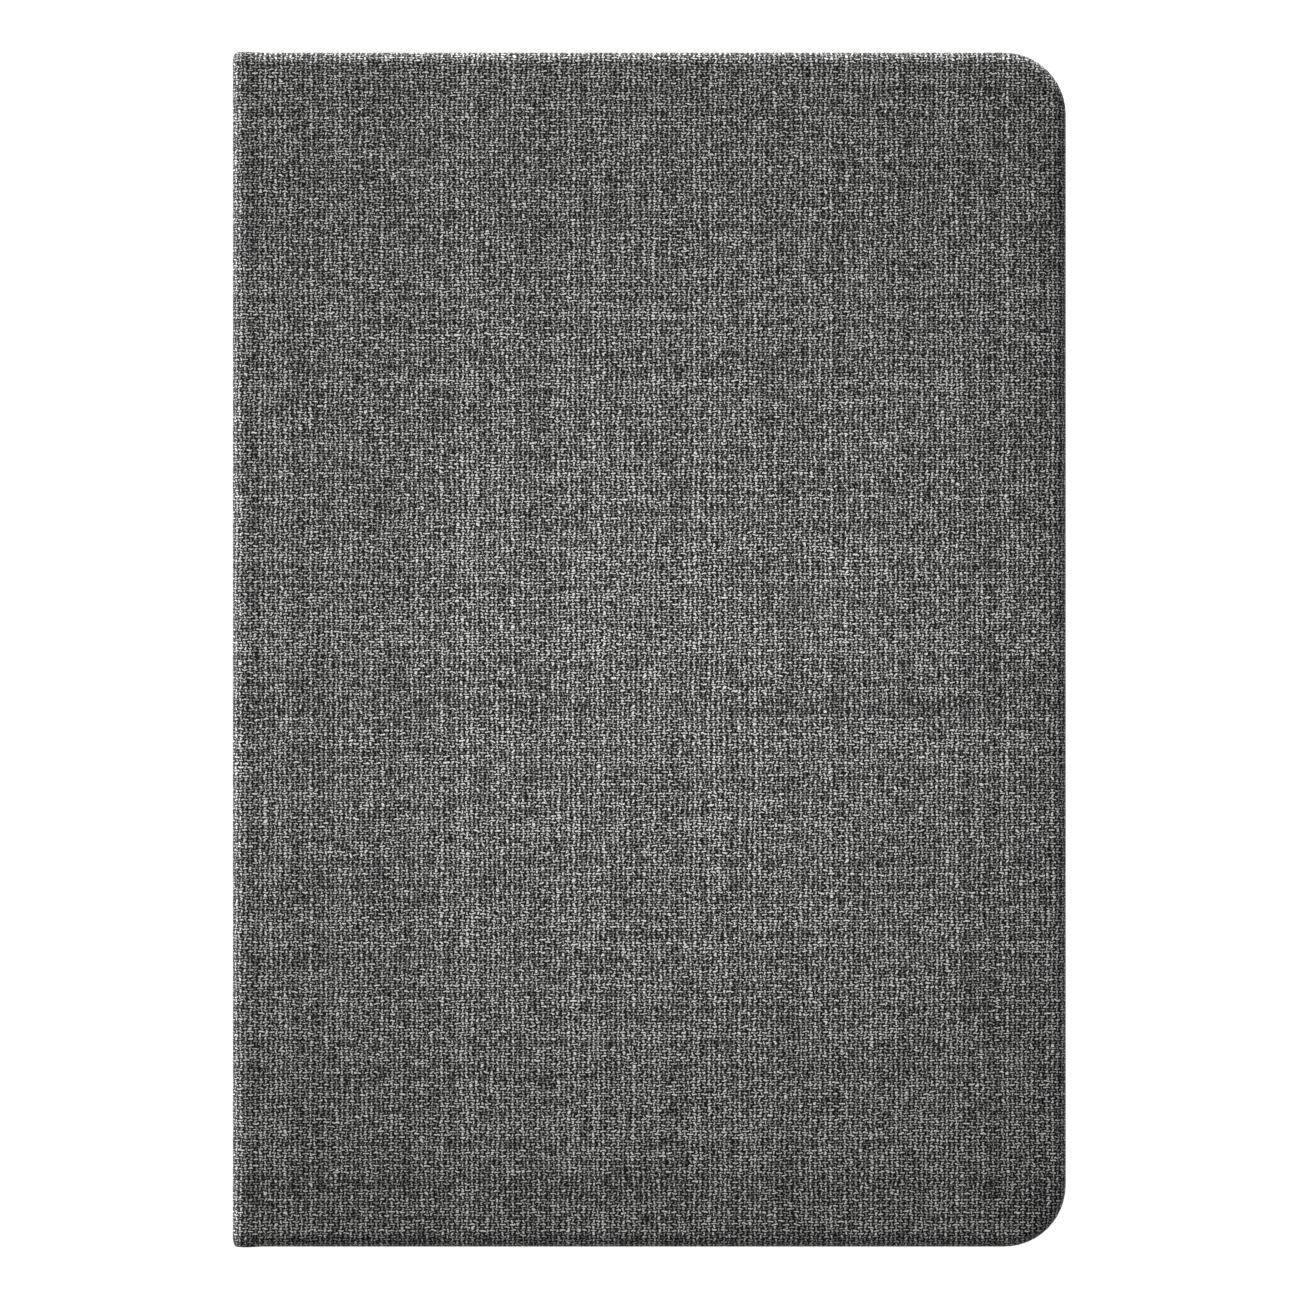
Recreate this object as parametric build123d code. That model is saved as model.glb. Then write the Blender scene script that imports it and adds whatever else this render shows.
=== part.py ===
from build123d import *
import os

# A folio case for a tablet, with a keyboard in its front cover. Millimetres, +Z up.
# It lies closed on its back: X runs from the spine to the free edge, Y along the long side,
# and Z from the back cover up to the front cover. The origin is the middle of the footprint.

# ---- outer size -----------------------------------------------------------------------------
CASE_X = 182.0  # short side, spine to free edge
CASE_Y = 260.8  # long side
CASE_Z = 21.0  # closed thickness
CORNER = 13.5  # round corners of the free edge
HALF_X = CASE_X / 2
HALF_Y = CASE_Y / 2

# ---- cover panels ---------------------------------------------------------------------------
SKIN = 0.8  # woven fabric bonded to the boards
BOARD = 1.2  # stiffener of the back panels
BACK_TOP = 2.4  # where the back panels end and the tray begins
BACK_ROUND = 2.0  # rounding of the back panels' free edges
FRONT_Z = 18.0  # inner face of the front panel
FRONT_LINER_Z = 18.4
FRONT_ROUND = 2.6  # rounding of the front panel's free edges
PANEL_X = -87.7  # where the front and back panels end beside the spine

# ---- spine ----------------------------------------------------------------------------------
SPINE_BEND = 3.0  # outer radius of the spine's corners
SPINE_BOARD = (-90.2, -89.2)
SPINE_LINER = (-89.2, -88.9)

# ---- kickstand ------------------------------------------------------------------------------
ANCHOR_X = -82.0  # end of the strip that ties the spine to the tray
FLAP_X = -81.5  # free end of the kickstand
HINGE_X = 4.5  # the kickstand's axis
HINGE_Z = 1.6
HINGE_GAP = 2.05  # from the axis to each panel
FLAP_TOP = 2.3
LEAF_REACH = 12.0
LEAF_HALF_THICK = 0.4
LEAF_START = 0.95
KNUCKLE_R = 0.75
PIN_R = 0.35
RUNNING_R = 0.40
HINGE_Y = (-75.0, 75.0)
FIXED_KNUCKLES = ((-12.0, -7.6), (-2.2, 2.2), (7.6, 12.0))
MOVING_KNUCKLES = ((-7.4, -2.4), (2.4, 7.4))
LEAF_HALF_Y = 12.0
MAGNETS = [(-76.0, y) for y in (-90.0, -30.0, 30.0, 90.0)]  # the same spots in the kickstand and tray
MAGNET_R = 4.0

# ---- tray for the tablet --------------------------------------------------------------------
TRAY = (-87.9, 89.4)  # outer faces along X
TRAY_HALF_Y = 126.9
TRAY_WALL = 1.3
TRAY_CORNER = 11.0
TRAY_FLOOR = 3.6
TRAY_TOP = 12.3
LIP_Z = 11.5
LIP_REACH = 1.5
LIP_SPAN = 26.0  # how far each lip runs to either side of its corner or middle
LINING_TOP = 3.9
CAMERA = (74.0, 113.0, 22.0, 14.0, 5.0)  # centre x and y, size along x and y, corner radius
NOTCH_Z = 5.0  # sill of the button and port openings
VOLUME_Y = (85.0, 115.0)
POWER_X = (58.0, 74.0)
AUDIO_X = (-76.0, -68.0)
PORT_X = (-6.25, 7.75)
SPEAKERS = (32.0, 3.2, 7)  # first slot's distance from the middle, pitch, slots on each side
SPEAKER_Z = (5.6, 9.4)

# ---- keyboard -------------------------------------------------------------------------------
DECK = (-81.0, 86.5)
DECK_HALF_Y = 125.0
DECK_CORNER = 4.0
DECK_Z = 13.4  # the face the keys stand out of, looking down when the case is closed
PLATE_Z = 14.4
WALL_TOP = 17.2
DECK_WALL = 1.2
UNIT = 16.7  # key pitch
KEY_GAP = 2.3
ROW_UNITS = 14.5
KEY_FACE_Z = 12.4
KEY_INNER_Z = 13.3
KEY_FLANGE_Z = 14.5
KEY_END_Z = 14.9
KEY_WALL = 0.9
FLANGE = 0.5
WINDOW_GAP = 0.25
STEM_END_Z = 14.95
MEMBRANE_Z = 16.3
SUPPORT_Z = 16.6
ROWS_X = {
    "function": (-75.5, -66.0),
    "number": (-63.7, -49.0),
    "q": (-46.7, -32.0),
    "a": (-29.7, -15.0),
    "z": (-12.7, 2.0),
    "bottom": (4.3, 19.0),
}
PAD = (28.0, 80.0, 50.0)  # touchpad: x from, x to, half its length along Y
PAD_BACK_Z = 14.45
SENSOR_TOP = 15.25
SCREW_SPOTS = (
    (-77.6, 121.6),
    (-77.9, 0.0),
    (-77.6, -121.6),
    (23.5, 115.0),
    (23.5, 0.0),
    (23.5, -115.0),
    (83.3, 121.0),
    (83.3, 0.0),
    (83.3, -121.0),
)
BOSS_R = 1.6
SHANK_R = 0.7
SCREW_HEAD_R = 1.4
SOCKET = (45.53, 54.47, 117.8, 14.04)  # charging socket: x from, x to, its back, its lowest face
LENS_SPOTS = [(-78.2, y) for y in (60.0, 65.0, 70.0)]
BUMPER_SPOTS = [(x, y) for x in (-79.0, 84.5) for y in (-100.0, 0.0, 100.0)]
FRONT_MAGNET_X = (81.5, 86.5)
FRONT_MAGNETS_Y = (-95.0, -35.0, 35.0, 95.0)
CHIPS = ((40, 70, 9, 9), (56, 74, 12, 8), (70, 92, 7, 7), (44, 100, 14, 5), (62, 106, 6, 6), (38, 88, 5, 9))
CHIP_Z = 15.3
BATTERY = (34.0, 78.0, -88.0, 28.0)  # x from, x to, middle along y, half its length
BATTERY_Z = 14.8


# ---- simple shapes --------------------------------------------------------------------------
def block(x0, x1, y0, y1, z0, z1):
    """A plain box between two corners."""
    centre = Pos((x0 + x1) / 2, (y0 + y1) / 2, (z0 + z1) / 2)
    return centre * Box(x1 - x0, y1 - y0, z1 - z0)


def disc(x, y, z0, z1, radius):
    """An upright cylinder."""
    return Pos(x, y, (z0 + z1) / 2) * Cylinder(radius, z1 - z0)


def cone(x, y, z0, z1, r0, r1):
    """An upright cone from radius r0 at z0 to r1 at z1."""
    return Pos(x, y, (z0 + z1) / 2) * Cone(r0, r1, z1 - z0)


def rounded(x0, x1, half_y, z0, z1, radius, y=0.0):
    """A slab with four round corners."""
    outline = RectangleRounded(x1 - x0, 2 * half_y, radius)
    return Pos((x0 + x1) / 2, y, z0) * extrude(outline, z1 - z0)


def edges_at(body, z):
    """The edges that lie flat at the height z."""
    boxes = [(edge, edge.bounding_box()) for edge in body.edges()]
    return [edge for edge, box in boxes if max(abs(box.min.Z - z), abs(box.max.Z - z)) < 0.001]


def panel(x0, x1, inset, z0, z1, round_z, radius, free_end):
    """A slab of the cover. Its long sides are rounded at round_z, and so is its end if it is free."""
    half_y = HALF_Y - inset
    outline = Pos((x0 + x1) / 2, 0) * Rectangle(x1 - x0, 2 * half_y)
    if free_end:
        outline = fillet(outline.vertices().sort_by(Axis.X)[-2:], CORNER - inset)
    slab = Pos(0, 0, z0) * extrude(outline, z1 - z0)
    joined = (x0,) if free_end else (x0, x1)
    free = [e for e in edges_at(slab, round_z) if min(abs(e.center().X - x) for x in joined) > 0.01]
    return fillet(free, radius)


def union(bodies):
    """One solid, or a group of separate solids, from a list."""
    bodies = list(bodies)
    return bodies[0] + bodies[1:] if len(bodies) > 1 else bodies[0]


def camera_hole(z0, z1):
    x, y, size_x, size_y, radius = CAMERA
    return rounded(x - size_x / 2, x + size_x / 2, size_y / 2, z0, z1, radius, y)


# ---- back panels ----------------------------------------------------------------------------
def back_layers(x0, x1, free_end, top):
    """The fabric, board and inner layer of one back panel, from its lower face up to top."""
    outer = panel(x0, x1, 0, 0, top, 0, BACK_ROUND, free_end)
    inner = panel(x0, x1 - (SKIN if free_end else 0), SKIN, SKIN, top, SKIN, BACK_ROUND - SKIN, free_end)
    fabric = outer - inner
    below = block(x0 - 1, x1 + 1, -HALF_Y, HALF_Y, 0, SKIN + BOARD)
    return fabric, inner & below, inner - below


def leaf_cut(side, y):
    """The place for one hinge leaf in a board; side is 1 above the axis and -1 on the kickstand."""
    near, far = sorted((HINGE_X + side * HINGE_GAP, HINGE_X + side * LEAF_REACH))
    return block(near, far, y - LEAF_HALF_Y, y + LEAF_HALF_Y, SKIN, SKIN + BOARD)


def hinge_leaf(side, y, knuckles, bore):
    """One leaf with its knuckles, bored for the pin."""
    near, far = sorted((HINGE_X + side * LEAF_START, HINGE_X + side * LEAF_REACH))
    low, high = HINGE_Z - LEAF_HALF_THICK, HINGE_Z + LEAF_HALF_THICK
    leaf = block(near, far, y - LEAF_HALF_Y, y + LEAF_HALF_Y, low, high)
    for start, end in knuckles:
        middle = Pos(HINGE_X, y + (start + end) / 2, HINGE_Z)
        knuckle = middle * Rot(90, 0, 0) * Cylinder(KNUCKLE_R, end - start)
        root, tip = sorted((HINGE_X, HINGE_X + side * LEAF_START))
        leaf = leaf + knuckle + block(root, tip, y + start, y + end, low, high)
    pin_bore = Pos(HINGE_X, y, HINGE_Z) * Rot(90, 0, 0) * Cylinder(bore, 2 * LEAF_HALF_Y + 1)
    return leaf - pin_bore


def hinge_pin(y):
    return Pos(HINGE_X, y, HINGE_Z) * Rot(90, 0, 0) * Cylinder(PIN_R, 2 * LEAF_HALF_Y)


def back_of_case():
    """The two fixed back panels, the kickstand and its two hinges."""
    window = camera_hole(-1, BACK_TOP + 1)
    fabric, board, tape = back_layers(HINGE_X + HINGE_GAP, HALF_X, True, BACK_TOP)
    strip_fabric, strip_board, strip_tape = back_layers(PANEL_X, ANCHOR_X, False, BACK_TOP)
    flap_fabric, flap_board, flap_liner = back_layers(FLAP_X, HINGE_X - HINGE_GAP, False, FLAP_TOP)
    magnets = union(disc(x, y, 0.9, 1.9, MAGNET_R) for x, y in MAGNETS)
    leaf_cuts = {side: union(leaf_cut(side, y) for y in HINGE_Y) for side in (1, -1)}
    return {
        "upper_back_fabric": fabric - window,
        "upper_back_board": board - window - leaf_cuts[1],
        "tray_bond_tape": (tape - window) + strip_tape,
        "anchor_strip_fabric": strip_fabric,
        "anchor_strip_board": strip_board,
        "kickstand_fabric": flap_fabric,
        "kickstand_board": flap_board - leaf_cuts[-1] - magnets,
        "kickstand_liner": flap_liner,
        "kickstand_magnets": magnets,
        "hinge_fixed_leaves": union(hinge_leaf(1, y, FIXED_KNUCKLES, PIN_R) for y in HINGE_Y),
        "hinge_moving_leaves": union(hinge_leaf(-1, y, MOVING_KNUCKLES, RUNNING_R) for y in HINGE_Y),
        "hinge_pins": union(hinge_pin(y) for y in HINGE_Y),
    }


# ---- tray -----------------------------------------------------------------------------------
def tray():
    x0, x1 = TRAY[0] + TRAY_WALL, TRAY[1] - TRAY_WALL
    half_y = TRAY_HALF_Y - TRAY_WALL
    corner = TRAY_CORNER - TRAY_WALL
    shell = rounded(*TRAY, TRAY_HALF_Y, BACK_TOP, TRAY_TOP, TRAY_CORNER)
    shell = fillet(edges_at(shell, TRAY_TOP), 0.5)
    shell = shell - rounded(x0, x1, half_y, TRAY_FLOOR, TRAY_TOP + 1, corner)

    # The lips hold the tablet at its four corners and at the middle of its long sides.
    low, high = LIP_Z - 1, TRAY_TOP + 1
    lip_x0, lip_x1, lip_y = x0 + LIP_REACH, x1 - LIP_REACH, half_y - LIP_REACH
    lip = rounded(x0 - 0.4, x1 + 0.4, half_y + 0.4, LIP_Z, TRAY_TOP, corner)
    lip = lip - rounded(lip_x0, lip_x1, lip_y, low, high, corner - LIP_REACH)
    spots = [(x, y) for x in (x0, x1) for y in (-half_y, 0.0, half_y)]
    holder = block(-LIP_SPAN, LIP_SPAN, -LIP_SPAN, LIP_SPAN, low, high)
    shell = shell + (lip & union(Pos(x, y) * holder for x, y in spots))

    # Openings in the side walls, all open to the top: volume, power, audio and charging.
    wall = 4.0
    near_lip = LIP_REACH + 0.5
    openings = [
        block(x1 - near_lip, x1 + wall, *VOLUME_Y, NOTCH_Z, high),
        block(*POWER_X, half_y - near_lip, half_y + wall, NOTCH_Z, high),
        block(*AUDIO_X, half_y - near_lip, half_y + wall, NOTCH_Z, high),
        block(*PORT_X, -half_y - wall, -half_y + near_lip, NOTCH_Z, high),
    ]
    first, pitch, count = SPEAKERS
    for side in (-1, 1):
        for step in range(count):
            x = (x0 + x1) / 2 + side * (first + pitch * step)
            openings.append(block(x - 0.9, x + 0.9, -half_y - wall, -half_y + 1, *SPEAKER_Z))
    shell = shell - openings - camera_hole(BACK_TOP - 1, TRAY_FLOOR + 1)

    magnets = union(disc(x, y, 2.6, TRAY_FLOOR, MAGNET_R) for x, y in MAGNETS)
    lining = rounded(x0 + 0.4, x1 - 0.4, half_y - 0.4, TRAY_FLOOR, LINING_TOP, corner - 0.4)
    return {
        "tablet_tray": shell - magnets,
        "tray_magnets": magnets,
        "tray_lining": lining - camera_hole(TRAY_FLOOR - 1, LINING_TOP + 1),
    }


# ---- spine ----------------------------------------------------------------------------------
def spine():
    """The spine's skin turns both corners and meets the two covers; its board is flat."""
    centre_x = -HALF_X + SPINE_BEND
    skin = block(-HALF_X, -HALF_X + SKIN, -HALF_Y, HALF_Y, SPINE_BEND, CASE_Z - SPINE_BEND)
    for z, low, high in ((SPINE_BEND, 0, SPINE_BEND), (CASE_Z - SPINE_BEND, CASE_Z - SPINE_BEND, CASE_Z)):
        axis = Pos(centre_x, 0, z) * Rot(90, 0, 0)
        tube = axis * Cylinder(SPINE_BEND, CASE_Y) - axis * Cylinder(SPINE_BEND - SKIN, CASE_Y)
        skin = skin + (tube & block(-HALF_X, centre_x, -HALF_Y, HALF_Y, low, high))
    inner_y = HALF_Y - SKIN
    return {
        "spine_fabric": skin,
        "spine_board": block(*SPINE_BOARD, -inner_y, inner_y, 4.2, 16.8),
        "spine_liner": block(*SPINE_LINER, -inner_y, inner_y, 4.6, 16.4),
    }


# ---- front cover ----------------------------------------------------------------------------
def front_cover():
    outer = panel(PANEL_X, HALF_X, 0, FRONT_Z, CASE_Z, CASE_Z, FRONT_ROUND, True)
    inner_top = CASE_Z - SKIN
    inner = panel(PANEL_X, HALF_X - SKIN, SKIN, FRONT_Z, inner_top, inner_top, FRONT_ROUND - SKIN, True)
    liner_space = block(PANEL_X - 1, HALF_X, -HALF_Y, HALF_Y, FRONT_Z, FRONT_LINER_Z)
    magnets = union(block(*FRONT_MAGNET_X, y - 10, y + 10, 18.6, 20.0) for y in FRONT_MAGNETS_Y)
    return {
        "front_fabric": outer - inner,
        "front_liner": inner & liner_space,
        "front_board": inner - liner_space - magnets,
        "front_magnets": magnets,
    }


# ---- keys -----------------------------------------------------------------------------------
KEY_ROWS = {
    "function": [("function_row_keys", 1.0)] * 14,
    "number": [("number_row_keys", 1.0)] * 13 + [("backspace_key", 1.5)],
    "q": [("tab_key", 1.5)] + [("q_row_keys", 1.0)] * 13,
    "a": [("caps_key", 1.75)] + [("a_row_keys", 1.0)] * 11 + [("enter_key", 1.75)],
    "z": [("shift_left_key", 2.25)] + [("z_row_keys", 1.0)] * 10 + [("shift_right_key", 2.25)],
    "bottom": [
        ("fn_key", 1.0),
        ("ctrl_key", 1.0),
        ("alt_left_key", 1.0),
        ("command_left_key", 1.25),
        ("space_key", 5.0),
        ("command_right_key", 1.25),
        ("alt_right_key", 1.0),
        ("arrow_left_key", 1.0),
        ("arrow_up_and_down", 1.0),
        ("arrow_right_key", 1.0),
    ],
}
_cap_shapes = {}


def key_places():
    """(node, x from, x to, y from, y to) of every key. The left end of each row is at +Y."""
    places = []
    for row, keys in KEY_ROWS.items():
        x0, x1 = ROWS_X[row]
        unit = UNIT * ROW_UNITS / sum(width for _, width in keys)
        y = UNIT * ROW_UNITS / 2
        for node, width in keys:
            high = y - KEY_GAP / 2
            y -= width * unit
            low = y + KEY_GAP / 2
            if node == "arrow_up_and_down":
                half = (x1 - x0 - KEY_GAP) / 2
                places.append(("arrow_up_key", x0, x0 + half, low, high))
                places.append(("arrow_down_key", x1 - half, x1, low, high))
            else:
                places.append((node, x0, x1, low, high))
    return places


def key_cap(size_x, size_y):
    """A hollow keycap at the origin, with a flange that keeps it in its window and a stem."""
    name = (round(size_x, 3), round(size_y, 3))
    if name not in _cap_shapes:
        cap = rounded(-size_x / 2, size_x / 2, size_y / 2, KEY_FACE_Z, KEY_END_Z, 1.1)
        cap = fillet(edges_at(cap, KEY_FACE_Z), 0.45)
        wide_x, wide_y = size_x / 2 + FLANGE, size_y / 2 + FLANGE
        cap = cap + rounded(-wide_x, wide_x, wide_y, KEY_FLANGE_Z, KEY_END_Z, 1.1)
        hollow_x, hollow_y = size_x / 2 - KEY_WALL, size_y / 2 - KEY_WALL
        cap = cap - rounded(-hollow_x, hollow_x, hollow_y, KEY_INNER_Z, KEY_END_Z + 1, 0.5)
        _cap_shapes[name] = cap + disc(0, 0, KEY_INNER_Z, STEM_END_Z, 1.4)
    return _cap_shapes[name]


def keys():
    """Every key, the windows it passes through, and the rubber domes under it."""
    caps, windows, domes = {}, [], []
    for node, x0, x1, y0, y1 in key_places():
        x, y = (x0 + x1) / 2, (y0 + y1) / 2
        caps.setdefault(node, []).append(Pos(x, y, 0) * key_cap(x1 - x0, y1 - y0))
        half_x, half_y = (x1 - x0) / 2 + WINDOW_GAP, (y1 - y0) / 2 + WINDOW_GAP
        windows.append(rounded(x - half_x, x + half_x, half_y, DECK_Z - 1, PLATE_Z + 1, 1.3, y))
        base_r = min(3.4, half_x - 0.6)
        domes.append(cone(x, y, STEM_END_Z, MEMBRANE_Z, 1.4, base_r))
    return {node: union(shapes) for node, shapes in caps.items()}, windows, domes


# ---- keyboard case and what is in it ----------------------------------------------------------
def screw(x, y):
    """A countersunk screw, driven from the side that the front liner covers."""
    head = cone(x, y, FRONT_Z - 0.5, FRONT_Z, SHANK_R, SCREW_HEAD_R)
    shank = disc(x, y, 14.9, FRONT_Z - 0.5, SHANK_R)
    return head + shank


def socket():
    """A charging socket with a stadium-shaped mouth and a tongue."""
    x0, x1, back, low = SOCKET
    centre = Pos((x0 + x1) / 2, DECK_HALF_Y, (low + WALL_TOP) / 2) * Rot(90, 0, 0)
    depth = DECK_HALF_Y - back
    height = WALL_TOP - low
    outer = centre * extrude(RectangleRounded(x1 - x0, height, 1.3), depth)
    mouth = centre * extrude(RectangleRounded(x1 - x0 - 0.6, height - 0.6, 1.1), depth - 0.8)
    tongue = centre * Pos(0, 0, 0.6) * extrude(Rectangle(6.7, 0.7), depth - 0.6)
    return outer - mouth + tongue


def keyboard_case(windows):
    screws = union(screw(x, y) for x, y in SCREW_SPOTS)
    x0, x1, pad_half = PAD
    plate = rounded(*DECK, DECK_HALF_Y, DECK_Z, PLATE_Z, DECK_CORNER)
    plate = fillet(edges_at(plate, DECK_Z), 0.6)
    lenses = union(disc(x, y, DECK_Z, PLATE_Z, 0.8) for x, y in LENS_SPOTS)
    pad_x0, pad_x1, pad_y = x0 - WINDOW_GAP, x1 + WINDOW_GAP, pad_half + WINDOW_GAP
    pad_window = rounded(pad_x0, pad_x1, pad_y, DECK_Z - 1, PLATE_Z + 1, 2.2)
    socket_x0, socket_x1, socket_back, socket_low = SOCKET
    socket_space = block(socket_x0, socket_x1, socket_back, DECK_HALF_Y + 1, socket_low, WALL_TOP)
    plate = plate - windows - pad_window - lenses - socket_space
    plate = plate + [disc(x, y, PLATE_Z, WALL_TOP, BOSS_R) for x, y in SCREW_SPOTS] - screws

    inner_x0, inner_x1, inner_y = DECK[0] + DECK_WALL, DECK[1] - DECK_WALL, DECK_HALF_Y - DECK_WALL
    base = rounded(*DECK, DECK_HALF_Y, PLATE_Z, FRONT_Z, DECK_CORNER)
    base = base - rounded(inner_x0, inner_x1, inner_y, PLATE_Z - 1, WALL_TOP, DECK_CORNER - DECK_WALL)
    slot = block(62.7, 69.3, inner_y - 0.5, DECK_HALF_Y + 1, 15.1, 16.5)
    base = base - screws - socket_space - slot

    bumper = fillet(edges_at(rounded(-1.4, 1.4, 8, 11.8, DECK_Z, 1.3), 11.8), 0.5)
    return {
        "keyboard_top_plate": plate,
        "keyboard_base_shell": base,
        "base_screws": screws,
        "charging_socket": socket(),
        "indicator_lenses": lenses,
        "screen_bumpers": union(Pos(x, y, 0) * bumper for x, y in BUMPER_SPOTS),
    }


def electronics(domes):
    """Membrane, circuit board, battery, their flat cables and the power switch."""
    circuit = block(32, 80, 60, SOCKET[2], MEMBRANE_Z, WALL_TOP)
    for x, y, size_x, size_y in CHIPS:
        chip = Pos(x, y, (CHIP_Z + MEMBRANE_Z) / 2) * Box(size_x, size_y, MEMBRANE_Z - CHIP_Z)
        circuit = circuit + chip
    x0, x1, middle_y, half_y = BATTERY
    battery = rounded(x0, x1, half_y, BATTERY_Z, WALL_TOP, 2.5, middle_y)
    battery = fillet(edges_at(battery, BATTERY_Z), 0.6)
    ribbon = block(18.3, 38, 80, 96, MEMBRANE_Z - 0.15, MEMBRANE_Z) - block(35, 39, 83.5, 92.5, 15, 17)
    lead_z = (WALL_TOP - 0.3, WALL_TOP)
    lead = block(25.4, 27.1, -75, 75, *lead_z)
    lead = lead + block(25.4, 34, -75, -72, *lead_z) + block(25.4, 32, 72, 75, *lead_z)
    mat = block(-75.9, 19.9, -121.5, 121.5, MEMBRANE_Z, SUPPORT_Z)
    steel = block(-75.9, 19.9, -121.5, 121.5, SUPPORT_Z, WALL_TOP)
    click_dome = cone((PAD[0] + PAD[1]) / 2, 0, SENSOR_TOP, WALL_TOP, 2.0, 3.4)
    return {
        "switch_membrane": mat,
        "support_plate": steel,
        "rubber_domes": union(domes + [click_dome]),
        "main_circuit_board": circuit,
        "battery_cell": battery,
        "flat_cables": union([ribbon, lead]),
        "power_switch_body": block(60, 72, SOCKET[2], 122.6, 15.0, WALL_TOP),
    }


def moving_controls():
    x0, x1, half = PAD
    plate = rounded(x0, x1, half, DECK_Z, PAD_BACK_Z, 2.0)
    slider = block(61, 68, 122.65, 123.75, 14.9, 16.7) + block(63, 66, 123.7, 125.9, 15.3, 16.3)
    for step in range(3):
        slider = slider - block(63.5 + 0.85 * step, 63.8 + 0.85 * step, 125.6, 126, 15, 17)
    return {
        "touchpad_plate": fillet(edges_at(plate, DECK_Z), 0.2),
        "touchpad_sensor_board": rounded(x0 - 0.6, x1 + 0.6, half + 0.6, PAD_BACK_Z, SENSOR_TOP, 2.0),
        "power_slider": slider,
    }


# ---- write every node -------------------------------------------------------------------------
def main():
    caps, windows, domes = keys()
    nodes = {}
    for group in (back_of_case(), tray(), spine(), front_cover(), caps, keyboard_case(windows)):
        nodes.update(group)
    nodes.update(electronics(domes))
    nodes.update(moving_controls())
    os.makedirs("parts", exist_ok=True)
    for name, shape in nodes.items():
        export_step(shape, f"parts/{name}.step")
        print(name, len(shape.solids()))


main()
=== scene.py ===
import math

import bmesh
import bpy
from mathutils import Matrix, Vector
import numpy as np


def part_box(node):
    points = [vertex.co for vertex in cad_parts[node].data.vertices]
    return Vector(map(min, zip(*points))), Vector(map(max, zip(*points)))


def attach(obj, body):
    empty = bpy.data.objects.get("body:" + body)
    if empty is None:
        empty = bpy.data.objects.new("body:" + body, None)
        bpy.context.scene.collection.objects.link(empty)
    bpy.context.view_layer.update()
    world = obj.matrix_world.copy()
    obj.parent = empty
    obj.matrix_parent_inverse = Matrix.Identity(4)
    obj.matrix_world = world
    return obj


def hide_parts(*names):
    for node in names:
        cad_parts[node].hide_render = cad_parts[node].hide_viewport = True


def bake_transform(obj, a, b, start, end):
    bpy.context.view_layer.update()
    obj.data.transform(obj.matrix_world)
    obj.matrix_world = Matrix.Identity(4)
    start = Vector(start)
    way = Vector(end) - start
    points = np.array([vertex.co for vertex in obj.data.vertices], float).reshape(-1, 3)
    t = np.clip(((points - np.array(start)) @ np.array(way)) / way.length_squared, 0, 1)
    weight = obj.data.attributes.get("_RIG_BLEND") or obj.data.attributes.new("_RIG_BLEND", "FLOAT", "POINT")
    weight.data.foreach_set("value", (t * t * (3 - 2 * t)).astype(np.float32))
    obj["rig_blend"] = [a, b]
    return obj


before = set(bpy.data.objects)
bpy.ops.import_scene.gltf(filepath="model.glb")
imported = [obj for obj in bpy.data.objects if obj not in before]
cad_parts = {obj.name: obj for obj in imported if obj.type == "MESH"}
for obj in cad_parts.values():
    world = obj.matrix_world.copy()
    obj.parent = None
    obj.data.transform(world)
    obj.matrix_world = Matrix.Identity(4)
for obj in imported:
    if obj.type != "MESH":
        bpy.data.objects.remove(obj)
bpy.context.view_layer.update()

MM = 0.001

# The skins are thinner than the CAD's bonded layer, and turn in under the panels' edges.
CLOTH = 0.38 * MM
FRONT_LOW, FRONT_HIGH = (corner[2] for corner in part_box("front_fabric"))
HALF_X, HALF_Y = (abs(v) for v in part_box("front_fabric")[1][:2])
CORNER = 13.5 * MM
SPINE_BEND = 3.0 * MM
SPINE_HEM = 1.85 * MM
SPINE_EDGE = 0.8 * MM
HEM_RUN = 4 * MM
SPINE_MID = FRONT_HIGH / 2
HINGE_X = 4.5 * MM
FLAP_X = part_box("kickstand_fabric")[0][0]
ANCHOR_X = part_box("anchor_strip_fabric")[1][0]
CAMERA_X, CAMERA_Y = 74 * MM, 113 * MM
WINDOW_X, WINDOW_Y, WINDOW_CORNER = 22 * MM, 14 * MM, 5 * MM
FOLD_HALF = 3.2 * MM
CORNER_STEPS = 12
PI = math.pi


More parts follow.
